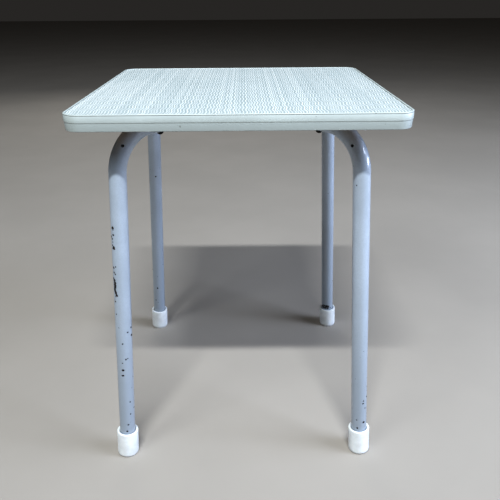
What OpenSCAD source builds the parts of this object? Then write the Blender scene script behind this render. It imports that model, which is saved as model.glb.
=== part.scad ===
// Small square table or stool: a laminated board with a plastic edge band, on a welded
// cross-frame of bent tube whose four splayed legs stand in plastic caps.
// Millimetres. The origin is on the floor under the middle of the top, +X is to the right,
// +Y is to the back and +Z is up.

/* [Top] */
// Side of the square board, without its edge band
board_size = 350; // [300:5:420]
// Corner radius of the board
corner_r = 16; // [13:1:40]
// Thickness of the chipboard core
core_t = 15; // [12:0.5:22]
// Thickness of the patterned laminate on top
laminate_t = 0.8; // [0.5:0.1:1.5]
// Thickness of the plain backing sheet underneath
backing_t = 0.6; // [0.4:0.1:1.5]

/* [Edge band] */
// Thickness of the band at its upper land
band_t = 2.5; // [2:0.1:4]
// How far the lower land leans in at its foot
band_lean = 0.9; // [0.4:0.1:1.2]
// How far the top bead stands above the laminate
bead_rise = 0.6; // [0.3:0.1:1]
// How far the bottom lip hangs below the backing sheet
lip_drop = 0.4; // [0.2:0.1:1]
// Depth and width of the line that parts the two lands
line_w = 0.7; // [0.4:0.1:1]
// Length of the spine that is pressed into the board
spine_len = 9; // [6:0.5:11]
// Thickness of the spine over its barbs
spine_t = 2.8; // [2.4:0.1:3.6]
// Width of the slit where the two ends of the band meet
butt_gap = 0.3; // [0.2:0.1:1]

/* [Frame] */
// Height of the laminate above the floor
height = 457; // [350:1:600]
// Distance between neighbouring legs' centres at the floor
foot_spread = 314; // [260:1:380]
// Lean of each leg from upright, towards its own corner, in degrees
splay = 4.6; // [0:0.1:8]
// Outer diameter of the tube
tube_d = 20; // [16:0.5:25]
// Wall of the tube
tube_wall = 1.5; // [1:0.1:2.5]
// How much thinner the tube is in its bends, on the diameter
bend_draw = 0.1; // [0.06:0.02:0.4]
// Radius of each bend, at the middle of the tube
bend_r = 50; // [40:1:70]
// Throat of the weld at the crossing
weld_throat = 2.2; // [1.5:0.1:3]

/* [Screws] */
// Diameter of the screw's shank
screw_d = 4; // [3:0.5:5]
// Clearance of the hole through the tube, on the diameter
screw_clear = 0.4; // [0.2:0.1:1]
// Depth that the screw goes into the core
screw_bite = 10; // [8:0.5:11]
// Diameter of the screw's head
head_d = 8; // [7:0.5:11]
// Height of the domed head
head_h = 3; // [2:0.2:4]
// Distance of the screw from the end of the bend
screw_inset = 12; // [8:1:30]

/* [Feet] */
// Wall of the cap around the tube
cap_wall = 3.8; // [2.4:0.1:5]
// Height of the cap along the leg
cap_h = 37; // [26:1:45]
// Thickness of the sole under the tube's end
sole_t = 4; // [3:0.5:6]
// How far the mouth opens around the tube, on the diameter
mouth_gap = 0.8; // [0.5:0.1:3]
// Depth over which the mouth closes in on the tube
mouth_depth = 6; // [3:0.5:10]
// Rounding of the cap's lower edge
cap_edge_r = 3.5; // [2:0.1:5]
// How far the sole is worn down flat at its middle
sole_worn = 0.9; // [0.5:0.1:1.2]
// Clearance between the tube and the cap, on the diameter
cap_fit = 0.1; // [0.05:0.05:0.3]

/* [Hidden] */
$fn = 96;
eps = 0.01;

// heights of the board's layers
core_top = height - laminate_t;
core_bottom = core_top - core_t;
board_under = core_bottom - backing_t;
spine_z = core_bottom + core_t / 2;

// the edge band's section: u is outwards from the board's edge, v is up from the band's foot
band_h = lip_drop + backing_t + core_t + laminate_t + bead_rise;
band_z = board_under - lip_drop;
spine_v = spine_z - band_z;
bead_r = 0.45 * band_t;
foot_round = 0.5 * (band_t - band_lean);
barb_count = 3;
barb_rise = 0.35;
spine_clear = 0.5;
band_seat = 0.02;
arc_steps = 8;

// the tube's line in its own upright plane: s is outwards along the diagonal
tube_r = tube_d / 2;
tube_z = board_under - tube_r;
floor_s = foot_spread / sqrt(2);
turn = 90 - splay;
bend_tangent = bend_r * tan(turn / 2);
run_half = floor_s - tube_z * tan(splay) - bend_tangent;
leg_top = tube_z / cos(splay) - bend_tangent;
bend_lap = 0.4;
tube_end = sole_t - sole_worn;
screw_s = run_half - screw_inset;
slot_w = 1.1;
slot_depth = 1.3;
tip_len = 4;

cap_d = tube_d + 2 * cap_wall;

// directions of the legs' two upright planes
long_plane = 45;
short_plane = -45;

// points of a round stretch, from angle a to angle b
function arc(u, v, r, a, b) =
    [for (i = [0 : arc_steps]) let (t = a + (b - a) * i / arc_steps) [u + r * cos(t), v + r * sin(t)]];

// ---- board ----

module board_outline(inset = 0) {
    side = board_size - 2 * inset;
    r = corner_r - inset;
    square([side - 2 * r, side], center = true);
    square([side, side - 2 * r], center = true);
    for (x = [-1, 1], y = [-1, 1]) {
        translate([x, y] * (side / 2 - r)) circle(r = r);
    }
}

module at_screws() {
    for (turn_to = [long_plane, short_plane], end = [-1, 1]) {
        rotate(turn_to) translate([end * screw_s, 0, 0]) children();
    }
}

module board_core() {
    groove = spine_len + spine_clear;
    color("burlywood") difference() {
        translate([0, 0, core_bottom]) linear_extrude(core_t) board_outline();
        translate([0, 0, spine_z - spine_t / 2]) linear_extrude(spine_t) difference() {
            square(board_size + 2 * band_t, center = true);
            board_outline(inset = groove);
        }
        at_screws() translate([0, 0, core_bottom - eps]) cylinder(d = screw_d, h = screw_bite + eps);
    }
}

module top_laminate() {
    color("gainsboro") translate([0, 0, core_top]) linear_extrude(laminate_t) board_outline();
}

module backing_sheet() {
    color("tan") difference() {
        translate([0, 0, board_under]) linear_extrude(backing_t) board_outline();
        at_screws() translate([0, 0, board_under - eps]) cylinder(d = screw_d, h = backing_t + 2 * eps);
    }
}

// ---- edge band ----

function spine_side(side) =
    let (
        pitch = (spine_len - 1) / barb_count,
        root = spine_t / 2 - barb_rise
    )
    [for (i = [0 : barb_count - 1])
        let (u = -1 - pitch * i)
        each [[u, spine_v + side * root], [u - pitch * 0.15, spine_v + side * spine_t / 2],
            [u - pitch, spine_v + side * root]]];

module band_section() {
    lower_u = band_t - band_lean;
    spine_root = spine_t / 2 - barb_rise;
    lower_side = spine_side(-1);
    upper_side = spine_side(1);
    polygon(concat(
        [[band_seat, foot_round]],
        arc(foot_round, foot_round, foot_round - band_seat, 180, 270),
        arc(lower_u - foot_round, foot_round, foot_round, 270, 360),
        [
            [band_t - line_w * 0.4, spine_v - line_w / 2],
            [band_t - line_w * 0.8, spine_v],
            [band_t, spine_v + line_w / 2]
        ],
        arc(band_t - bead_r, band_h - bead_r, bead_r, 0, 90),
        arc(bead_r * 0.6, band_h - bead_r * 0.6, bead_r * 0.6 - band_seat, 90, 180),
        [[band_seat, spine_v + spine_root]],
        upper_side,
        [for (i = [len(lower_side) - 1 : -1 : 0]) lower_side[i]],
        [[band_seat, spine_v - spine_root]]
    ));
}

module edge_band() {
    straight = board_size - 2 * corner_r;
    color("lightgrey") difference() {
        translate([0, 0, band_z]) for (quarter = [0 : 3]) rotate(90 * quarter) {
            translate([board_size / 2, straight / 2, 0]) rotate([90, 0, 0])
                linear_extrude(straight) band_section();
            translate([straight / 2, straight / 2, 0]) rotate_extrude(angle = 90)
                translate([corner_r, 0]) band_section();
        }
        translate([-butt_gap / 2, board_size / 2 - 2 * spine_len, band_z - 1])
            cube([butt_gap, 3 * spine_len, band_h + 2]);
    }
}

// ---- leg frame ----

// stands its children on the leg's line, with their foot where it meets the floor
module on_leg() {
    translate([floor_s, 0, 0]) rotate([0, -splay, 0]) children();
}

// one leg and its bend as a solid bar; the bend is drawn a little thinner than the straight
// tube and runs a short way into it at both ends
module leg_bar(d, foot_end) {
    on_leg() translate([0, 0, foot_end]) cylinder(d = d, h = leg_top - foot_end);
    translate([run_half, 0, tube_z - bend_r]) rotate([90, 0, 0]) rotate(splay - bend_lap)
        rotate_extrude(angle = turn + 2 * bend_lap) translate([bend_r, 0]) circle(d = d - bend_draw);
}

// the straight bar along the underside of the board
module run_bar(d, from, to) {
    translate([from, 0, tube_z]) rotate([0, 90, 0]) cylinder(d = d, h = to - from);
}

module screw_holes() {
    at_screws() translate([0, 0, tube_z - tube_d])
        cylinder(d = screw_d + screw_clear, h = 2 * tube_d);
}

module long_leg_tube() {
    bore = tube_d - 2 * tube_wall;
    color("lightsteelblue") difference() {
        rotate(long_plane) {
            for (end = [0, 180]) rotate(end) leg_bar(tube_d, tube_end);
            run_bar(tube_d, -run_half, run_half);
        }
        rotate(long_plane) {
            for (end = [0, 180]) rotate(end) leg_bar(bore, tube_end - eps);
            run_bar(bore, -run_half, run_half);
        }
        screw_holes();
    }
}

module short_leg_tube(plane) {
    bore = tube_d - 2 * tube_wall;
    color("lightsteelblue") difference() {
        rotate(plane) {
            leg_bar(tube_d, tube_end);
            run_bar(tube_d, 0, run_half);
        }
        rotate(plane) {
            leg_bar(bore, tube_end - eps);
            run_bar(bore, -eps, run_half);
        }
        rotate(long_plane) run_bar(tube_d, -tube_d, tube_d);
        screw_holes();
    }
}

module front_right_leg_tube() { short_leg_tube(short_plane); }

module rear_left_leg_tube() { short_leg_tube(short_plane + 180); }

module centre_weld() {
    fat = tube_d + 2 * weld_throat;
    color("slategray") difference() {
        intersection() {
            rotate(long_plane) run_bar(fat, -fat, fat);
            rotate(short_plane) run_bar(fat, -fat, fat);
        }
        for (plane = [long_plane, short_plane]) rotate(plane) run_bar(tube_d, -fat, fat);
        translate([0, 0, board_under + fat]) cube(2 * fat, center = true);
    }
}

module frame_screws() {
    seat = tube_z - tube_r;
    grip = board_under + backing_t + screw_bite - seat;
    dome_r = (head_d * head_d / 4 + head_h * head_h) / (2 * head_h);
    color("dimgray") at_screws() difference() {
        union() {
            translate([0, 0, seat]) cylinder(d = screw_d, h = grip - tip_len);
            translate([0, 0, seat + grip - tip_len]) cylinder(d1 = screw_d, d2 = 0.6, h = tip_len);
            intersection() {
                translate([0, 0, seat - head_h + dome_r]) sphere(r = dome_r);
                translate([0, 0, seat - head_h]) cylinder(d = head_d, h = head_h);
            }
        }
        translate([-head_d, -slot_w / 2, seat - head_h - 1]) cube([2 * head_d, slot_w, 1 + slot_depth]);
    }
}

// ---- feet ----

module cap_section() {
    outer = cap_d / 2;
    bore = (tube_d + cap_fit) / 2;
    mouth = (tube_d + mouth_gap) / 2;
    rim = (outer - mouth) / 2;
    polygon(concat(
        [[0, 0]],
        arc(outer - cap_edge_r, cap_edge_r, cap_edge_r, -90, 0),
        arc(outer - rim, cap_h - rim, rim, 0, 180),
        [[bore, cap_h - mouth_depth], [bore, sole_t], [0, sole_t]]
    ));
}

module foot(plane) {
    color("whitesmoke") difference() {
        rotate(plane) on_leg() translate([0, 0, -sole_worn]) rotate_extrude() cap_section();
        translate([0, 0, -cap_d / 2]) cube([2 * foot_spread, 2 * foot_spread, cap_d], center = true);
    }
}

module front_left_foot() { foot(long_plane + 180); }

module front_right_foot() { foot(short_plane); }

module rear_left_foot() { foot(short_plane + 180); }

module rear_right_foot() { foot(long_plane); }

board_core();
top_laminate();
backing_sheet();
edge_band();
long_leg_tube();
front_right_leg_tube();
rear_left_leg_tube();
centre_weld();
frame_screws();
front_left_foot();
front_right_foot();
rear_left_foot();
rear_right_foot();
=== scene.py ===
"""Builds the finished look of a small square table on a welded frame of bent tube.

Metres. The origin is on the floor under the middle of the top, +X is to the right,
+Y is to the back and +Z is up.
"""
import math
import random

import bpy
import numpy as np
from bpy.props import FloatProperty, FloatVectorProperty, IntProperty, PointerProperty
from mathutils import Matrix, Vector


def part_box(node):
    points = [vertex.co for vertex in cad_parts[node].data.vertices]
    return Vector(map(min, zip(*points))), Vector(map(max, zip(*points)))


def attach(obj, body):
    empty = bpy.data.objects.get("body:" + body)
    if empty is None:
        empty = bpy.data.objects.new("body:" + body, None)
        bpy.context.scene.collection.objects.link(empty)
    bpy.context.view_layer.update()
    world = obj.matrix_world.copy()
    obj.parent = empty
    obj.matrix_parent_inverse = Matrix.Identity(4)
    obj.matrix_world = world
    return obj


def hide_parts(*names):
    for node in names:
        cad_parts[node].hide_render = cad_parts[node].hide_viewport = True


bl_info = {
    "name": "Small Square Table",
    "version": (1, 0, 0),
    "blender": (4, 5, 0),
    "location": "View3D > Sidebar > Table",
    "description": "Dresses a small laminated table on a bent tube frame",
    "category": "Object",
}

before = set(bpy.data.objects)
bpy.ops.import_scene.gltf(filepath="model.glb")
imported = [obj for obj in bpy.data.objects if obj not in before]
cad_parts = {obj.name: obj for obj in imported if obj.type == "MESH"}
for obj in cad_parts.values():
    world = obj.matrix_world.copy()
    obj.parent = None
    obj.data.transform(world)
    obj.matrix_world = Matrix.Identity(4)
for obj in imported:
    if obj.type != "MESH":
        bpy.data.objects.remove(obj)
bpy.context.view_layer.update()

BAND_LOW, BAND_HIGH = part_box("edge_band")
SHEET_LOW, SHEET_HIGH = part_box("top_laminate")
BACKING_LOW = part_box("backing_sheet")[0]
BOARD_HALF = SHEET_HIGH.x
ROOT = "root"
MM = 0.001


# ---- sizes and colours -------------------------------------------------------------------


class TableSizes(bpy.types.PropertyGroup):
    """Sizes that a maker would change."""

    tube: FloatProperty(
        name="Tube", description="Outer diameter of the leg tube",
        default=20 * MM, unit="LENGTH")
    tube_wall: FloatProperty(
        name="Tube wall", description="Wall of the leg tube",
        default=1.5 * MM, unit="LENGTH")
    bend: FloatProperty(
        name="Bend", description="Radius of each bend, at the middle of the tube",
        default=50 * MM, unit="LENGTH")
    foot_spread: FloatProperty(
        name="Foot spread", description="Distance between neighbouring legs at the floor",
        default=314 * MM, unit="LENGTH")
    splay: FloatProperty(
        name="Splay", description="Lean of each leg towards its own corner",
        default=math.radians(4.6), subtype="ANGLE")
    corner: FloatProperty(
        name="Corner", description="Corner radius of the board",
        default=16 * MM, unit="LENGTH")
    rib_pitch: FloatProperty(
        name="Rib pitch", description="Mean distance between the ribs of the laminate",
        default=3.0 * MM, unit="LENGTH")
    rib_height: FloatProperty(
        name="Rib height", description="How far a rib stands above the laminate",
        default=0.16 * MM, unit="LENGTH")
    wave_length: FloatProperty(
        name="Wave length", description="Length of one wave of a rib",
        default=25 * MM, unit="LENGTH")
    wave_swing: FloatProperty(
        name="Wave swing", description="How far a rib swings to either side",
        default=0.75 * MM, unit="LENGTH")
    cap: FloatProperty(
        name="Cap", description="Outer diameter of a foot cap",
        default=27.6 * MM, unit="LENGTH")
    cap_height: FloatProperty(
        name="Cap height", description="Height of a foot cap along its leg",
        default=37 * MM, unit="LENGTH")
    round_steps: IntProperty(
        name="Round steps", description="Sides of a tube or cap",
        default=64, min=16, max=128)


def colour(name, description, default):
    return FloatVectorProperty(
        name=name, description=description, default=default, subtype="COLOR",
        size=3, min=0, max=1)


class TableColours(bpy.types.PropertyGroup):
    """Colours of the finishes."""

    enamel: colour("Enamel", "Enamel of the tubes", (0.45, 0.525, 0.62))
    steel: colour("Bare steel", "Steel and primer in the chips", (0.012, 0.011, 0.012))
    rust: colour("Rust", "Rim of the older chips", (0.085, 0.035, 0.018))
    sheet: colour("Laminate", "Ground of the laminate", (0.46, 0.55, 0.57))
    rib: colour("Rib", "Ribs of the laminate", (0.80, 0.86, 0.87))
    band: colour("Edge band", "Plastic of the edge band", (0.53, 0.60, 0.60))
    cap: colour("Cap", "Plastic of the foot caps", (0.82, 0.87, 0.90))
    # Also used as painted shade in the seams and grooves of the top and the edge band.
    grime_and_seam_shade: colour("Grime", "Dust and grime in the seams", (0.09, 0.085, 0.075))
    screw: colour("Screw", "Blackened screws", (0.012, 0.012, 0.013))
    backing: colour("Backing", "Sheet under the board", (0.36, 0.25, 0.16))
    chipboard: colour("Chipboard", "Core of the board", (0.52, 0.38, 0.23))
    floor: colour("Floor", "Plain pale floor", (0.39, 0.37, 0.34))


def sizes():
    return bpy.context.scene.table_sizes


def colours():
    return bpy.context.scene.table_colours


# ---- shader helpers ----------------------------------------------------------------------


class Value:
    """A number in a shader; arithmetic on it adds Math nodes."""

    def __init__(self, paint, socket):
        self.paint, self.socket = paint, socket

    def math(self, operation, *others):
        return self.paint.node(
            "ShaderNodeMath", {"operation": operation}, dict(enumerate([self, *others])))

    def __add__(self, other):
        return self.math("ADD", other)

    __radd__ = __add__

    def __sub__(self, other):
        return self.math("SUBTRACT", other)

    def __rsub__(self, other):
        return self.paint.node(
            "ShaderNodeMath", {"operation": "SUBTRACT"}, {0: other, 1: self})

    def __mul__(self, other):
        return self.math("MULTIPLY", other)

    __rmul__ = __mul__

    def at_least(self, other):
        return self.math("MAXIMUM", other)

    def ramp(self, low, high):
        """0 below low, 1 above high and smooth between them; low may be the larger."""
        up = low < high
        return self.paint.node(
            "ShaderNodeMapRange", {"interpolation_type": "SMOOTHSTEP", "clamp": True},
            {"Value": self, "From Min": min(low, high), "From Max": max(low, high),
             "To Min": 0.0 if up else 1.0, "To Max": 1.0 if up else 0.0})


class Paint:
    """One finish: a Principled shader and the nodes that feed it."""

    def __init__(self, name, **constants):
        self.material = bpy.data.materials.new(name)
        self.material.use_nodes = True
        self.tree = self.material.node_tree
        self.tree.nodes.clear()
        self.shader = self.tree.nodes.new("ShaderNodeBsdfPrincipled")
        output = self.tree.nodes.new("ShaderNodeOutputMaterial")
        self.tree.links.new(self.shader.outputs[0], output.inputs["Surface"])
        self.set(**constants)
        self.point = self.node("ShaderNodeTexCoord", out="Object")
        self.x, self.y, self.z = (
            self.node("ShaderNodeSeparateXYZ", inputs={0: self.point}, out=axis)
            for axis in range(3))

    def node(self, kind, settings=None, inputs=None, out=0):
        """Adds a node with its settings, then the values or links of its sockets."""
        made = self.tree.nodes.new(kind)
        for key, value in (settings or {}).items():
            setattr(made, key, value)
        for key, value in (inputs or {}).items():
            self.feed(made.inputs[key], value)
        return Value(self, made.outputs[out])

    def feed(self, socket, value):
        if isinstance(value, Value):
            self.tree.links.new(value.socket, socket)
        elif socket.type == "RGBA" and len(value) == 3:
            socket.default_value = (*value, 1.0)
        else:
            socket.default_value = value

    def set(self, **sockets):
        """Feeds the shader's sockets; an underscore stands for a space."""
        for key, value in sockets.items():
            self.feed(self.shader.inputs[key.replace("_", " ")], value)

    def noise(self, scale, detail=3.0, roughness=0.55, at=None):
        return self.node(
            "ShaderNodeTexNoise", {"noise_dimensions": "3D"},
            {"Vector": at or self.point, "Scale": scale, "Detail": detail,
             "Roughness": roughness})

    def stretched(self, x, y, z):
        """The point with each direction scaled, for streaks."""
        return self.node(
            "ShaderNodeVectorMath", {"operation": "MULTIPLY"}, {0: self.point, 1: (x, y, z)})

    def mix(self, share, first, second):
        """The first colour at share 0 and the second at share 1."""
        made = self.tree.nodes.new("ShaderNodeMix")
        made.data_type = "RGBA"
        self.feed(made.inputs[0], share)
        self.feed(made.inputs[6], first)
        self.feed(made.inputs[7], second)
        return Value(self, made.outputs[2])

    def attribute(self, name):
        return self.node("ShaderNodeAttribute", {"attribute_name": name}, out="Fac")

    def near(self, places):
        """Largest of radius minus distance, over the places: above 0 inside one of them."""
        best = None
        for x, y, z, radius in places:
            away = self.node(
                "ShaderNodeVectorMath", {"operation": "DISTANCE"},
                {0: self.point, 1: (x, y, z)}, out="Value")
            depth = radius - away
            best = depth if best is None else best.at_least(depth)
        return best

    def bump(self, height, strength, distance, under=None):
        """A normal for the height, on top of the normal under it."""
        inputs = {"Strength": strength, "Distance": distance, "Height": height}
        if under is not None:
            inputs["Normal"] = under
        return self.node("ShaderNodeBump", inputs=inputs)


def shade(rgb, factor):
    """The colour, lighter above factor 1 and darker below it."""
    return tuple(min(1.0, c * factor) for c in rgb)


# ---- modelling helpers -------------------------------------------------------------------


def deselect_all():
    """Leaves edit mode with nothing selected."""
    if bpy.context.mode != "OBJECT":
        bpy.ops.object.mode_set(mode="OBJECT")
    bpy.ops.object.select_all(action="DESELECT")


def only(piece):
    """Makes the piece the only selected and the active one."""
    deselect_all()
    piece.select_set(True)
    bpy.context.view_layer.objects.active = piece


def added(name):
    """The primitive that was just added, named, with its place in its mesh."""
    piece = bpy.context.object
    piece.name = piece.data.name = name
    bpy.ops.object.transform_apply(location=True, rotation=True, scale=True)
    return piece


def edit(piece):
    """Edit mode, with all of the piece's vertices selected."""
    only(piece)
    bpy.ops.object.mode_set(mode="EDIT")
    bpy.ops.mesh.select_mode(type="VERT")
    bpy.ops.mesh.select_all(action="SELECT")


def object_mode():
    bpy.ops.object.mode_set(mode="OBJECT")


def extrude(x, y, z):
    bpy.ops.mesh.extrude_region_move(TRANSFORM_OT_translate={"value": (x, y, z)})


def resize(factor, centre):
    bpy.ops.transform.resize(value=(factor, factor, 1.0), center_override=centre)


def outwards(piece):
    """Merges doubles and points all faces outwards."""
    edit(piece)
    bpy.ops.mesh.remove_doubles(threshold=1e-6)
    bpy.ops.mesh.select_all(action="SELECT")
    bpy.ops.mesh.normals_make_consistent(inside=False)
    object_mode()


def apply(piece, kind, **settings):
    """Adds a modifier and applies it at once."""
    only(piece)
    modifier = piece.modifiers.new(kind.title(), kind)
    for key, value in settings.items():
        setattr(modifier, key, value)
    bpy.ops.object.modifier_apply(modifier=modifier.name)


def cut(piece, tool, operation):
    """A boolean with a tool piece, which is then removed."""
    apply(piece, "BOOLEAN", object=tool, operation=operation, solver="EXACT")
    bpy.data.objects.remove(tool)


def smooth(piece, angle):
    """Smooth shading, with edges steeper than the angle kept sharp."""
    only(piece)
    bpy.ops.object.shade_smooth_by_angle(angle=math.radians(angle))


def finish_piece(piece, paint, node):
    """Gives the piece its finish and its body, and hides the CAD node it stands for."""
    piece.data.materials.clear()
    piece.data.materials.append(paint.material)
    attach(piece, ROOT)
    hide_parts(node)


def dress(node, paint):
    """Gives a CAD node its finish, and leaves its mesh alone."""
    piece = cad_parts[node]
    piece.data.materials.clear()
    piece.data.materials.append(paint.material)


def copied(piece, name, matrix):
    """A copy with a mesh of its own, moved by the matrix."""
    twin = piece.copy()
    twin.data = piece.data.copy()
    twin.name = twin.data.name = name
    bpy.context.scene.collection.objects.link(twin)
    twin.data.transform(matrix)
    return twin


# ---- top ---------------------------------------------------------------------------------


def from_middle(paint):
    """Distance from the middle of the board, the same all along each of its edges."""
    return paint.x.math("ABSOLUTE").at_least(paint.y.math("ABSOLUTE"))


def laminate_paint():
    c = colours()
    paint = Paint("patterned_laminate", Coat_Roughness=0.25)
    rib = paint.attribute("rib")
    tone = paint.attribute("tone")
    across = paint.attribute("across")
    along = paint.y
    thread = paint.node(
        "ShaderNodeCombineXYZ", inputs={0: across * 1500, 1: along * 60, 2: 0.0})
    fine = paint.noise(1.0, detail=2.0, roughness=0.6, at=thread)
    cloud = paint.noise(9.0, detail=4.0)
    wear = paint.noise(45.0, detail=5.0, roughness=0.65)
    ground = paint.mix(fine.ramp(0.35, 0.68), shade(c.sheet, 0.86), shade(c.sheet, 1.12))
    ridge = rib * (0.25 + 0.75 * tone)
    printed = paint.mix(ridge, ground, c.rib)
    faded = paint.mix(cloud.ramp(0.42, 0.72) * 0.22, printed, shade(c.rib, 0.93))
    # Painted shade: a dark line along the sheet's edge, where the bead of the band stands above
    # it.
    seam_shade = from_middle(paint).ramp(BOARD_HALF - 1.3 * MM, BOARD_HALF - 0.1 * MM)
    smudged = paint.mix(wear.ramp(0.60, 0.80) * 0.18, faded, shade(c.sheet, 0.72))
    paint.set(
        Base_Color=paint.mix(seam_shade * 0.75, smudged, c.grime_and_seam_shade),
        Roughness=0.30 + 0.18 * wear + 0.10 * ridge,
        Normal=paint.bump(fine + 0.4 * wear, 0.25, 0.05 * MM),
        Coat_Weight=0.12)
    return paint


def rib_columns():
    """Places across the sheet as (x, rise, tone, lag); the ribs are unevenly spaced.

    The rise goes from 0 in a groove to 1 on a rib, and the lag is in radians of the wave.
    """
    chance = random.Random(7)
    pitch = sizes().rib_pitch
    profile = ((-1.0, 0.0), (-0.4, 1.0), (0.4, 1.0), (1.0, 0.0))
    last = BOARD_HALF + 2 * pitch
    columns = []
    lag = 0.0
    centre = -last
    while centre < last:
        half = pitch * chance.uniform(0.25, 0.33)
        tone = chance.uniform(0.5, 1.0)
        lag += chance.uniform(-0.28, 0.28)
        columns += [(centre + u * half, rise, tone, lag) for u, rise in profile]
        centre += pitch * chance.uniform(0.78, 1.22)
    return columns


def build_laminate():
    """A sheet whose wavy ribs run from front to back, nearly in step with one another."""
    s = sizes()
    spare = 2 * MM  # past the outline on each side, and cut away
    depth = 3 * MM  # deeper than the sheet, and cut away as well
    length = 2 * (BOARD_HALF + spare)
    rows_per_wave = 10
    groove_z = SHEET_HIGH.z - 0.02 * MM
    columns = rib_columns()
    rows = int(round(length / s.wave_length * rows_per_wave)) + 1
    bpy.ops.mesh.primitive_grid_add(
        x_subdivisions=len(columns) - 1, y_subdivisions=rows - 1, size=1.0,
        location=(0, 0, 0))
    sheet = added("laminate_sheet")
    co = np.zeros(len(sheet.data.vertices) * 3)
    sheet.data.vertices.foreach_get("co", co)
    co = co.reshape(-1, 3)
    column = np.rint((co[:, 0] + 0.5) * (len(columns) - 1)).astype(int)
    x, rise, tone, lag = np.array(columns)[column].T
    y = co[:, 1] * length
    sine = np.sin(2 * np.pi * y / s.wave_length + lag)
    wave = sine * (1.25 - 0.25 * sine * sine)  # fuller at its turns than the sine
    worn = 0.85 + 0.15 * np.cos(y * 23) * np.cos(x * 31)  # lower here and there
    crest = rise * (0.45 + 0.55 * tone)
    co[:, 0] = x + s.wave_swing * wave
    co[:, 1] = y
    co[:, 2] = groove_z + s.rib_height * crest * worn
    sheet.data.vertices.foreach_set("co", co.ravel())
    for name, values in (("rib", rise), ("tone", tone), ("across", x)):
        layer = sheet.data.attributes.new(name, "FLOAT", "POINT")
        layer.data.foreach_set("value", values.astype(np.float32))
    edit(sheet)
    extrude(0, 0, -depth)
    object_mode()
    outwards(sheet)
    outline = rounded_block(
        "sheet_outline", BOARD_HALF, s.corner, SHEET_LOW.z, SHEET_HIGH.z + spare)
    cut(sheet, outline, "INTERSECT")
    smooth(sheet, 40)
    finish_piece(sheet, laminate_paint(), "top_laminate")


def rounded_block(name, half, radius, low, high):
    """A square block with its four upright edges rounded."""
    deselect_all()
    bpy.ops.mesh.primitive_cube_add(
        size=1.0, location=(0, 0, (low + high) / 2), scale=(2 * half, 2 * half, high - low))
    block = added(name)
    edit(block)
    bpy.ops.mesh.select_mode(type="EDGE")
    bpy.ops.mesh.select_all(action="DESELECT")
    object_mode()
    points = block.data.vertices
    for edge in block.data.edges:
        a, b = (points[i].co for i in edge.vertices)
        edge.select = abs(a.z - b.z) > (high - low) / 2
    bpy.ops.object.mode_set(mode="EDIT")
    bpy.ops.mesh.bevel(offset=radius, offset_type="OFFSET", segments=16, profile=0.5)
    object_mode()
    return block


# heights above the band's foot: the line between the two lands, and the one under the bead
LAND_LINE = 8.5 * MM
BEAD_LINE = 16.15 * MM


def band_paint():
    c = colours()
    paint = Paint("edge_plastic", Coat_Roughness=0.3, IOR=1.46)
    cloud = paint.noise(14.0, detail=4.0)
    streak = paint.noise(1.0, detail=3.0, at=paint.stretched(18, 18, 900))
    speck = paint.noise(420.0, detail=2.0)
    base = paint.mix(cloud.ramp(0.35, 0.7), shade(c.band, 0.93), shade(c.band, 1.06))
    foot = BAND_LOW.z
    # Painted shade: the lower land leans in and faces a little down, so its colour is darkened,
    # unevenly with the cloud.
    lower_land_shade = paint.z.ramp(foot + 9.0 * MM, foot + 7.6 * MM) * (0.7 + 0.3 * cloud)
    lower_land_shaded = paint.mix(lower_land_shade * 0.8, base, shade(c.band, 0.68))
    streaked = paint.mix(streak.ramp(0.5, 0.8) * 0.25, lower_land_shaded, shade(c.band, 0.78))
    # Painted shade with some grime: dark lines in the groove between the lands and in the notch
    # under the bead.
    line = (paint.z - (foot + LAND_LINE)).math("ABSOLUTE").ramp(0.9 * MM, 0.1 * MM)
    seam_shade = (paint.z - (foot + BEAD_LINE)).math("ABSOLUTE").ramp(0.35 * MM, 0.08 * MM)
    darkening = (line * (0.35 + 0.65 * cloud.ramp(0.3, 0.6)) * 0.16).at_least(seam_shade * 0.8)
    dent = paint.noise(210.0, detail=1.0).ramp(0.755, 0.78)
    nick = (dent * 0.5).at_least(speck.ramp(0.76, 0.8) * 0.35)
    darkened = paint.mix(darkening, streaked, c.grime_and_seam_shade)
    paint.set(
        Base_Color=paint.mix(nick, darkened, shade(c.grime_and_seam_shade, 1.4)),
        Roughness=0.32 + 0.16 * streak + 0.25 * darkening,
        Normal=paint.bump(streak * 0.5 + speck * 0.2 - nick, 0.3, 0.12 * MM),
        Coat_Weight=0.10)
    return paint


def arc(u, v, radius, start, stop, steps):
    """Points on an arc about (u, v), from one angle in degrees to the other."""
    turns = [math.radians(start + (stop - start) * i / steps) for i in range(steps + 1)]
    return [(u + radius * math.cos(turn), v + radius * math.sin(turn)) for turn in turns]


def band_section():
    """Points of the band's section as (outwards from the board, up from the band's foot)."""
    high = BAND_HIGH.z - BAND_LOW.z
    top_u = BAND_HIGH.x - BOARD_HALF
    foot_u = top_u - 0.9 * MM
    line = 0.7 * MM  # about half the height of the line between the lands
    foot_r, bead_r, inner_r = 0.75 * MM, 1.0 * MM, 0.65 * MM
    return [
        *arc(foot_r, foot_r, foot_r - 0.03 * MM, 180, 270, 6),
        *arc(foot_u - foot_r, foot_r, foot_r, 270, 360, 6),
        (top_u - 0.36 * MM, LAND_LINE - line),
        (top_u - 0.46 * MM, LAND_LINE - line * 0.3),
        (top_u - 0.40 * MM, LAND_LINE + line * 0.2),
        (top_u - 0.10 * MM, LAND_LINE + line * 0.8),
        (top_u, LAND_LINE + line * 1.6),
        (top_u, BEAD_LINE - 0.28 * MM),
        (top_u - 0.1 * MM, BEAD_LINE - 0.12 * MM),
        (top_u - 0.42 * MM, BEAD_LINE),
        (top_u - 0.12 * MM, BEAD_LINE + 0.12 * MM),
        *arc(top_u - bead_r, high - bead_r, bead_r, 10, 90, 6),
        *arc(inner_r + 0.04 * MM, high - inner_r, inner_r, 90, 180, 6),
        (0.05 * MM, LAND_LINE + 3 * MM),
        (0.05 * MM, LAND_LINE - 3 * MM),
    ]


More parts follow.
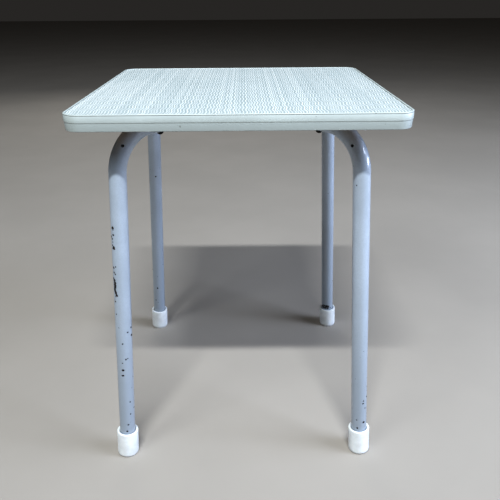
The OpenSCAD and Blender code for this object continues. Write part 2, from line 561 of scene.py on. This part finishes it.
def build_band():
    """The section runs round the board from the slit at the back, and ends at its other side."""
    s = sizes()
    section = band_section()
    gap = 0.15 * MM  # half the width of the slit
    straight = BOARD_HALF - s.corner
    deselect_all()
    bpy.ops.mesh.primitive_circle_add(vertices=len(section), radius=1.0, fill_type="NGON")
    band = added("edge_band_strip")
    for vertex, (u, v) in zip(band.data.vertices, section):
        vertex.co = (-gap, BOARD_HALF + u, BAND_LOW.z + v)
    edit(band)
    extrude(gap - straight, 0, 0)
    runs = (
        ((-straight, straight), (0, -2 * straight)),
        ((-straight, -straight), (2 * straight, 0)),
        ((straight, -straight), (0, 2 * straight)),
        ((straight, straight), (gap - straight, 0)),
    )
    for (x, y), (dx, dy) in runs:
        bpy.ops.mesh.spin(
            steps=14, angle=math.pi / 2, center=(x, y, BAND_LOW.z), axis=(0, 0, -1))
        extrude(dx, dy, 0)
    object_mode()
    outwards(band)
    smooth(band, 32)
    finish_piece(band, band_paint(), "edge_band")


def core_paint():
    c = colours()
    paint = Paint("chipboard")
    cells = paint.node(
        "ShaderNodeTexVoronoi", {"feature": "F1"},
        {"Vector": paint.stretched(1, 1, 2.2), "Scale": 420.0}, out="Color")
    flake = paint.node("ShaderNodeSeparateColor", inputs={0: cells})
    grain = paint.noise(900.0, detail=3.0)
    paint.set(
        Base_Color=paint.mix(flake, shade(c.chipboard, 0.7), shade(c.chipboard, 1.3)),
        Roughness=0.75 + 0.2 * grain,
        Normal=paint.bump(flake + grain, 0.5, 0.3 * MM))
    return paint


def backing_paint():
    c = colours()
    paint = Paint("backing_sheet")
    fibre = paint.noise(1.0, detail=4.0, at=paint.stretched(35, 420, 100))
    cloud = paint.noise(7.0, detail=4.0)
    speck = paint.noise(700.0, detail=2.0)
    edge = from_middle(paint).ramp(BOARD_HALF - 14 * MM, BOARD_HALF)
    rim = edge * cloud.ramp(0.3, 0.65)
    base = paint.mix(fibre.ramp(0.3, 0.7), shade(c.backing, 0.82), shade(c.backing, 1.12))
    flecked = paint.mix(speck.ramp(0.6, 0.75) * 0.5, base, shade(c.backing, 0.55))
    dusty = paint.mix(cloud.ramp(0.45, 0.75) * 0.3, flecked, shade(c.backing, 1.45))
    paint.set(
        Base_Color=paint.mix(rim * 0.45, dusty, shade(c.grime_and_seam_shade, 1.2)),
        Roughness=0.6 + 0.25 * fibre,
        Normal=paint.bump(fibre + 0.5 * speck, 0.4, 0.12 * MM))
    return paint


# ---- frame -------------------------------------------------------------------------------


# knocks in each tube's enamel, as (x, y, z, radius) in millimetres
CHIPS = {
    "long_leg_tube": (
        (-145, -146, 324, 1.9), (-145, -147, 322, 1.1), (-145, -147, 316, 1.4),
        (-148, -144, 313, 1.3), (-147, -146, 303, 1.1), (-147, -147, 299, 1.3),
        (-145, -148, 299, 1.2), (-149, -148, 275, 1.3), (-146, -150, 277, 0.9),
        (-149, -149, 269, 1.2), (-147, -150, 267, 1.1), (-150, -148, 261, 1.4),
        (-149, -149, 259, 2.0), (-149, -150, 253, 2.2), (-149, -150, 250, 2.1),
        (-150, -151, 245, 2.0), (-149, -151, 243, 1.9), (-148, -152, 240, 1.7),
        (-149, -150, 256, 2.0), (-150, -150, 247, 1.9), (-149, -151, 238, 1.3),
        (-150, -150, 234, 1.2), (-151, -151, 231, 1.1), (-151, -152, 214, 1.0),
        (-147, -146, 311, 1.3), (-147, -147, 307, 1.2), (-146, -148, 301, 1.6),
        (-136, -149, 193, 1.5), (-140, -154, 189, 1.1), (-137, -149, 182, 1.6),
        (-147, -157, 174, 1.2), (-145, -158, 151, 1.2), (-143, -157, 152, 0.8),
        (-150, -159, 146, 0.9), (-150, -159, 136, 1.7), (-151, -160, 128, 1.5),
        (-140, -149, 131, 0.9), (-146, -160, 86, 1.1), (-143, -155, 73, 1.2),
        (-141, -151, 98, 1.2), (-151, -163, 51, 1.4), (-153, -165, 41, 1.5),
        (-140, -152, 121, 0.9), (-147, -161, 67, 0.9), (-126, -136, 416, 1.6),
        (146, 151, 41, 2.1), (148, 147, 43, 2.4), (152, 145, 43, 2.4), (155, 145, 43, 2.0),
        (150, 146, 39, 2.4), (154, 145, 39, 2.1), (147, 149, 39, 2.2), (159, 146, 39, 1.2),
    ),
    "front_right_leg_tube": (
        (129, -143, 371, 0.9), (161, -154, 96, 1.5), (161, -157, 88, 1.5),
        (156, -161, 84, 1.2), (159, -163, 50, 1.6), (149, -163, 54, 1.0),
        (151, -164, 41, 1.3), (159, -160, 72, 1.0), (160, -154, 116, 1.0),
        (160, -155, 103, 1.2), (156, -162, 80, 1.3), (122, -136, 414, 1.6),
    ),
    "rear_left_leg_tube": (
        (-138, 130, 297, 1.2), (-153, 142, 86, 1.4), (-158, 145, 60, 0.9),
    ),
}


def enamel_paint(node):
    """Enamel with its knocks: those of the tube's own list, and fine flecks all over."""
    c = colours()
    paint = Paint(f"enamel_{node}", Coat_Roughness=0.08)
    cloud = paint.noise(16.0, detail=4.0)
    ragged = paint.noise(420.0, detail=3.0, roughness=0.6) - 0.5
    places = [tuple(v * MM for v in chip) for chip in CHIPS[node]]
    knock = paint.near(places) * 1000 + ragged * 2.6  # millimetres inside a chip's rim
    low = paint.z.ramp(0.42, 0.03)
    scatter = paint.noise(230.0, detail=2.0) + 0.03 * low
    fleck = scatter.ramp(0.755, 0.775)
    chip = knock.ramp(0.0, 0.25).at_least(fleck)
    rim = knock.ramp(-0.5, 0.05).at_least(scatter.ramp(0.74, 0.755) * 0.6)
    streak = paint.noise(1.0, detail=3.0, at=paint.stretched(160, 160, 7))
    base = paint.mix(cloud.ramp(0.3, 0.7), shade(c.enamel, 0.92), shade(c.enamel, 1.06))
    dull = paint.mix(streak.ramp(0.5, 0.8) * 0.22, base, shade(c.enamel, 0.74))
    scuff = paint.noise(70.0, detail=5.0, roughness=0.7).ramp(0.6, 0.8)
    grain = paint.noise(620.0, detail=2.0).ramp(0.35, 0.65)
    grained = paint.mix(grain * 0.3, dull, shade(c.enamel, 0.82))
    scuffed = paint.mix(scuff * 0.22, grained, shade(c.enamel, 1.25))
    # Darker towards the bottom of each leg, unevenly with the cloud.
    darkening = paint.z.ramp(0.30, 0.06) * (0.45 + 0.4 * cloud)
    darkened = paint.mix(darkening, scuffed, shade(c.enamel, 0.72))
    rimmed = paint.mix(rim * 0.4, darkened, shade(c.enamel, 0.6))
    bare = paint.mix(ragged.ramp(0.02, 0.22) * 0.6, c.steel, c.rust)
    orange_peel = paint.noise(260.0, detail=1.0)
    paint.set(
        Base_Color=paint.mix(chip, rimmed, bare),
        Roughness=0.26 + 0.14 * cloud + 0.18 * scuff + 0.35 * chip,
        Coat_Weight=0.6 * (1 - chip),
        Normal=paint.bump(
            1 - chip, 0.9, 0.25 * MM, paint.bump(orange_peel, 0.12, 0.1 * MM)))
    return paint


def leg_line():
    """Measures of a tube's middle line, in the upright plane that the tube is bent in.

    Gives the height of the run under the board, the distance of the foot from the middle of
    the table, half the run's length between its bends, and the leg's length up to its bend.
    """
    s = sizes()
    tube_z = BACKING_LOW.z - s.tube / 2
    floor_s = s.foot_spread / math.sqrt(2)
    tangent = s.bend * math.tan((math.pi / 2 - s.splay) / 2)
    run_half = floor_s - tube_z * math.tan(s.splay) - tangent
    leg_top = tube_z / math.cos(s.splay) - tangent
    return tube_z, floor_s, run_half, leg_top


def build_tube(name, node, turn, whole):
    """A bent tube, from the floor end of one leg to the crossing or to the other leg's end."""
    s = sizes()
    bend_steps = 28
    tube_z, floor_s, run_half, leg_top = leg_line()
    end_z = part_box(node)[0].z + s.tube / 2 * math.sin(s.splay)
    end = end_z / math.cos(s.splay)
    way = Vector((-math.sin(s.splay), 0, math.cos(s.splay)))
    rise = way * (leg_top - end)
    turned = math.pi / 2 - s.splay
    deselect_all()
    bpy.ops.mesh.primitive_circle_add(
        vertices=s.round_steps, radius=s.tube / 2, fill_type="NOTHING",
        location=Vector((floor_s, 0, 0)) + way * end, rotation=(0, -s.splay, 0))
    tube = added(name)
    edit(tube)
    extrude(*rise)
    bpy.ops.mesh.spin(
        steps=bend_steps, angle=turned, center=(run_half, 0, tube_z - s.bend),
        axis=(0, 1, 0))
    if whole:
        extrude(-2 * run_half, 0, 0)
        bpy.ops.mesh.spin(
            steps=bend_steps, angle=turned, center=(-run_half, 0, tube_z - s.bend),
            axis=(0, 1, 0))
        extrude(rise.x, 0, -rise.z)
    else:
        extrude(-run_half, 0, 0)
    object_mode()
    outwards(tube)
    apply(tube, "SOLIDIFY", thickness=s.tube_wall, offset=-1.0)
    tube.data.transform(Matrix.Rotation(turn, 4, "Z"))
    if not whole:
        reach = 60 * MM
        deselect_all()
        bpy.ops.mesh.primitive_cylinder_add(
            vertices=s.round_steps, radius=s.tube / 2, depth=reach,
            location=(0, 0, tube_z), rotation=(0, math.pi / 2, turn + math.pi / 2))
        cut(tube, added("saddle_tool"), "DIFFERENCE")
    smooth(tube, 40)
    return tube


# middles of the drilled holes in the front bends
DRAINS = {
    "long_leg_tube": (-126.5 * MM, -138 * MM, 416 * MM),
    "front_right_leg_tube": (122.5 * MM, -138 * MM, 414 * MM),
}
DRAIN_WIDTH = 2.3 * MM


def drill(tube, place):
    """A small hole from the front through one wall of a tube."""
    reach = 12 * MM
    deselect_all()
    bpy.ops.mesh.primitive_cylinder_add(
        vertices=24, radius=DRAIN_WIDTH / 2, depth=reach, location=place,
        rotation=(math.pi / 2, 0, 0))
    cut(tube, added("drill"), "DIFFERENCE")


def build_tubes():
    for name, node, turn, whole in (
        ("long_leg_bend", "long_leg_tube", math.pi / 4, True),
        ("front_right_leg_bend", "front_right_leg_tube", -math.pi / 4, False),
        ("rear_left_leg_bend", "rear_left_leg_tube", math.pi * 3 / 4, False),
    ):
        tube = build_tube(name, node, turn, whole)
        if node in DRAINS:
            drill(tube, DRAINS[node])
        finish_piece(tube, enamel_paint(node), node)


def weld_paint():
    c = colours()
    paint = Paint("enamelled_weld", Coat_Roughness=0.2)
    ripple = paint.noise(380.0, detail=3.0)
    soot = paint.noise(90.0, detail=4.0)
    base = paint.mix(ripple.ramp(0.35, 0.7), shade(c.enamel, 0.6), shade(c.enamel, 0.95))
    paint.set(
        Base_Color=paint.mix(soot.ramp(0.48, 0.7) * 0.8, base, c.rust),
        Roughness=0.35 + 0.3 * soot,
        Normal=paint.bump(ripple, 0.6, 0.3 * MM),
        Coat_Weight=0.15)
    return paint


def build_weld():
    """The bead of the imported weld, remeshed and rippled as it was laid."""
    bead = copied(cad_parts["centre_weld"], "centre_weld_bead", Matrix())
    for key in list(bead.keys()):
        del bead[key]
    bead.parent = None
    outwards(bead)
    apply(bead, "REMESH", mode="VOXEL", voxel_size=0.45 * MM)
    apply(bead, "SMOOTH", factor=0.5, iterations=5)
    lumps = bpy.data.textures.new("weld_ripple", "CLOUDS")
    lumps.noise_scale = 2.2 * MM
    apply(
        bead, "DISPLACE", texture=lumps, texture_coords="LOCAL", strength=0.5 * MM,
        mid_level=0.62)
    smooth(bead, 60)
    finish_piece(bead, weld_paint(), "centre_weld")


def screw_paint():
    c = colours()
    paint = Paint("black_screw", Metallic=0.55)
    scratch = paint.noise(1.0, detail=3.0, at=paint.stretched(900, 2600, 900))
    patch = paint.noise(350.0, detail=3.0)
    worn = (0.16, 0.15, 0.15)
    rusted = paint.mix(patch.ramp(0.5, 0.8) * 0.5, c.screw, c.rust)
    paint.set(
        Base_Color=paint.mix(scratch.ramp(0.62, 0.8) * 0.5, rusted, worn),
        Roughness=0.35 + 0.3 * patch,
        Normal=paint.bump(scratch, 0.3, 0.05 * MM))
    return paint


# ---- feet --------------------------------------------------------------------------------


def cap_paint():
    c = colours()
    paint = Paint(
        "cap_plastic", IOR=1.48, Subsurface_Weight=0.06,
        Subsurface_Radius=(1.5 * MM, 1.2 * MM, 1.0 * MM))
    cloud = paint.noise(55.0, detail=4.0)
    speck = paint.noise(900.0, detail=2.0)
    base = paint.mix(cloud.ramp(0.35, 0.7), shade(c.cap, 0.92), shade(c.cap, 1.08))
    low = paint.z.ramp(5.5 * MM, 0.3 * MM)
    stain = low * cloud.ramp(0.3, 0.62)
    scuff = paint.noise(1.0, detail=4.0, at=paint.stretched(260, 260, 1100)).ramp(0.62, 0.78)
    darkened = paint.mix(stain * 0.55, base, shade(c.grime_and_seam_shade, 2.2))
    scuffed = paint.mix(scuff * 0.22, darkened, shade(c.grime_and_seam_shade, 3.2))
    paint.set(
        Base_Color=paint.mix(speck.ramp(0.72, 0.78) * 0.25, scuffed, shade(c.grime_and_seam_shade, 2.0)),
        Roughness=0.42 + 0.2 * cloud + 0.15 * stain,
        Normal=paint.bump(speck * 0.6 + scuff, 0.25, 0.08 * MM))
    return paint


def cap_profile():
    """Radius and height of each ring of a cap, from the sole over the rim to the seat inside."""
    s = sizes()
    outer, high = s.cap / 2, s.cap_height
    edge, rim = 3.5 * MM, 1.2 * MM
    lip = rim * 0.9
    mouth = s.tube / 2 + 0.55 * MM
    seat = s.tube / 2 + 0.05 * MM
    sole = 4 * MM
    return [
        (outer - edge - 3 * MM, 0.0),
        *arc(outer - edge, edge, edge, -90, 0, 9),
        (outer, high * 0.35),
        (outer, high * 0.7),
        *arc(outer - rim, high - rim, rim, 0, 90, 6),
        *arc(mouth + lip, high - lip, lip, 90, 180, 5),
        (mouth - 0.25 * MM, high - 3.2 * MM),
        (seat, high - 6 * MM),
        (seat, sole + 0.2 * MM),
        (seat - 0.4 * MM, sole),
    ]


def build_cap():
    """One cap on a leg along +X: rings drawn up one after another, leaned, and worn flat."""
    s = sizes()
    worn = 0.9 * MM  # off the sole, under the leg's middle
    profile = cap_profile()
    radius, height = profile[0]
    deselect_all()
    bpy.ops.mesh.primitive_circle_add(
        vertices=s.round_steps, radius=radius, fill_type="NGON", location=(0, 0, height))
    cap = added("cap")
    edit(cap)
    for next_radius, next_height in profile[1:]:
        extrude(0, 0, next_height - height)
        resize(next_radius / radius, (0, 0, next_height))
        radius, height = next_radius, next_height
    object_mode()
    outwards(cap)
    cap.data.transform(
        Matrix.Translation((s.foot_spread / math.sqrt(2), 0, 0))
        @ Matrix.Rotation(-s.splay, 4, "Y")
        @ Matrix.Translation((0, 0, -worn)))
    edit(cap)
    bpy.ops.mesh.bisect(
        plane_co=(0, 0, 0), plane_no=(0, 0, 1), threshold=1e-6, clear_inner=True,
        use_fill=True)
    object_mode()
    outwards(cap)
    smooth(cap, 35)
    return cap


def build_caps():
    cap, paint = build_cap(), cap_paint()
    for node, degrees in (
        ("rear_right_foot", 45), ("rear_left_foot", 135),
        ("front_left_foot", 225), ("front_right_foot", 315),
    ):
        turn = Matrix.Rotation(math.radians(degrees), 4, "Z")
        twin = copied(cap, node.replace("foot", "cap"), turn)
        finish_piece(twin, paint, node)
    bpy.data.objects.remove(cap)


# ---- stage -------------------------------------------------------------------------------


def floor_paint():
    c = colours()
    paint = Paint("plain_floor", Roughness=0.85)
    cloud = paint.noise(3.0, detail=5.0)
    paint.set(
        Base_Color=paint.mix(cloud.ramp(0.3, 0.7), shade(c.floor, 0.97), shade(c.floor, 1.03)))
    return paint


# lights as (name, place, width, height, watts, tint)
LIGHTS = (
    ("key", (-0.1, -1.66, 3.0), 1.1, 0.09, 80.0, (0.96, 0.985, 1.0)),
    ("right_fill", (2.0, -0.7, 1.8), 1.0, 1.2, 30.0, (0.76, 0.84, 1.0)),
    ("right_low", (2.4, -0.25, 0.62), 1.0, 0.4, 22.0, (0.70, 0.79, 1.0)),
    ("left_fill", (-1.8, -1.7, 2.6), 1.0, 1.0, 19.0, (0.93, 0.97, 1.0)),
    ("back_fill", (-0.6, 2.6, 1.25), 1.2, 0.6, 8.0, (1.0, 0.98, 0.95)),
)
# the point that all lights face
AIM = Vector((0, 0, 0.25))

SKY_TINT = (1.0, 0.95, 0.9, 1.0)
SKY_STRENGTH = 0.035
FLOOR_SIZE = 24.0
FLOOR_Z = -0.02 * MM  # just under the soles

# lens in millimetres, and the camera's directions and place
LENS = 39.768
CAMERA_PLACE = Matrix((
    (0.99992876, 0.00977453, -0.00685096, 0.006138),
    (-0.01035933, 0.42551666, -0.9048913, -0.724564),
    (-0.00592969, 0.9048978, 0.4255876, 0.567131),
    (0, 0, 0, 1)))


def add_light(name, place, width, height, watts, tint):
    """A rectangular lamp that faces AIM."""
    data = bpy.data.lights.new(name, "AREA")
    data.shape = "RECTANGLE"
    data.size, data.size_y, data.energy, data.color = width, height, watts, tint
    lamp = bpy.data.objects.new(name, data)
    bpy.context.scene.collection.objects.link(lamp)
    lamp.location = place
    lamp.rotation_euler = (AIM - Vector(place)).to_track_quat("-Z", "Y").to_euler()
    return lamp


def build_stage():
    deselect_all()
    bpy.ops.mesh.primitive_plane_add(size=FLOOR_SIZE, location=(0, 0, FLOOR_Z))
    floor = added("floor")
    floor.data.materials.append(floor_paint().material)

    world = bpy.data.worlds.new("studio")
    bpy.context.scene.world = world
    world.use_nodes = True
    sky = world.node_tree.nodes["Background"]
    sky.inputs["Color"].default_value = SKY_TINT
    sky.inputs["Strength"].default_value = SKY_STRENGTH

    lamps = {name: add_light(name, *rest) for name, *rest in LIGHTS}
    # it lights the back without a glare on the top
    lamps["back_fill"].visible_glossy = False

    camera = bpy.data.objects.new("camera", bpy.data.cameras.new("camera"))
    bpy.context.scene.collection.objects.link(camera)
    bpy.context.scene.camera = camera
    camera.data.sensor_width = 36.0
    camera.data.lens = LENS
    camera.data.clip_start = 0.01
    camera.matrix_world = CAMERA_PLACE
    bpy.context.scene.view_settings.view_transform = "Standard"
    bpy.context.scene.view_settings.look = "High Contrast"


# ---- operators ---------------------------------------------------------------------------


class TABLE_OT_laminate(bpy.types.Operator):
    """Build the ribbed laminate sheet"""

    bl_idname = "table.laminate"
    bl_label = "Laminate"

    def execute(self, context):
        build_laminate()
        return {"FINISHED"}


class TABLE_OT_edge_band(bpy.types.Operator):
    """Run the plastic band round the board"""

    bl_idname = "table.edge_band"
    bl_label = "Edge band"

    def execute(self, context):
        build_band()
        return {"FINISHED"}


class TABLE_OT_board(bpy.types.Operator):
    """Give the core and the backing sheet their finishes"""

    bl_idname = "table.board"
    bl_label = "Board"

    def execute(self, context):
        dress("board_core", core_paint())
        dress("backing_sheet", backing_paint())
        return {"FINISHED"}


class TABLE_OT_leg_tubes(bpy.types.Operator):
    """Bend the three leg tubes"""

    bl_idname = "table.leg_tubes"
    bl_label = "Leg tubes"

    def execute(self, context):
        build_tubes()
        return {"FINISHED"}


class TABLE_OT_weld(bpy.types.Operator):
    """Lay the weld at the crossing"""

    bl_idname = "table.weld"
    bl_label = "Weld"

    def execute(self, context):
        build_weld()
        return {"FINISHED"}


class TABLE_OT_screws(bpy.types.Operator):
    """Give the screws their finish"""

    bl_idname = "table.screws"
    bl_label = "Screws"

    def execute(self, context):
        dress("frame_screws", screw_paint())
        return {"FINISHED"}


class TABLE_OT_caps(bpy.types.Operator):
    """Mould the four foot caps"""

    bl_idname = "table.caps"
    bl_label = "Foot caps"

    def execute(self, context):
        build_caps()
        return {"FINISHED"}


class TABLE_OT_stage(bpy.types.Operator):
    """Lay the floor and place the lights and the camera"""

    bl_idname = "table.stage"
    bl_label = "Stage"

    def execute(self, context):
        build_stage()
        return {"FINISHED"}


STEPS = (
    TABLE_OT_laminate, TABLE_OT_edge_band, TABLE_OT_board, TABLE_OT_leg_tubes,
    TABLE_OT_weld, TABLE_OT_screws, TABLE_OT_caps, TABLE_OT_stage,
)


class TABLE_PT_sidebar(bpy.types.Panel):
    """Lists the steps of the table, its sizes and its colours"""

    bl_idname = "TABLE_PT_sidebar"
    bl_label = "Table"
    bl_space_type = "VIEW_3D"
    bl_region_type = "UI"
    bl_category = "Table"

    def draw(self, context):
        for step in STEPS:
            self.layout.operator(step.bl_idname)
        for group in (context.scene.table_sizes, context.scene.table_colours):
            for name in group.__annotations__:
                self.layout.prop(group, name)


CLASSES = (TableSizes, TableColours, *STEPS, TABLE_PT_sidebar)


def register():
    for cls in CLASSES:
        bpy.utils.register_class(cls)
    bpy.types.Scene.table_sizes = PointerProperty(type=TableSizes)
    bpy.types.Scene.table_colours = PointerProperty(type=TableColours)


def unregister():
    del bpy.types.Scene.table_colours
    del bpy.types.Scene.table_sizes
    for cls in reversed(CLASSES):
        bpy.utils.unregister_class(cls)


def main():
    register()
    for step in STEPS:
        group, name = step.bl_idname.split(".")
        getattr(getattr(bpy.ops, group), name)()
    bpy.context.view_layer.update()


if __name__ == "__main__":
    main()
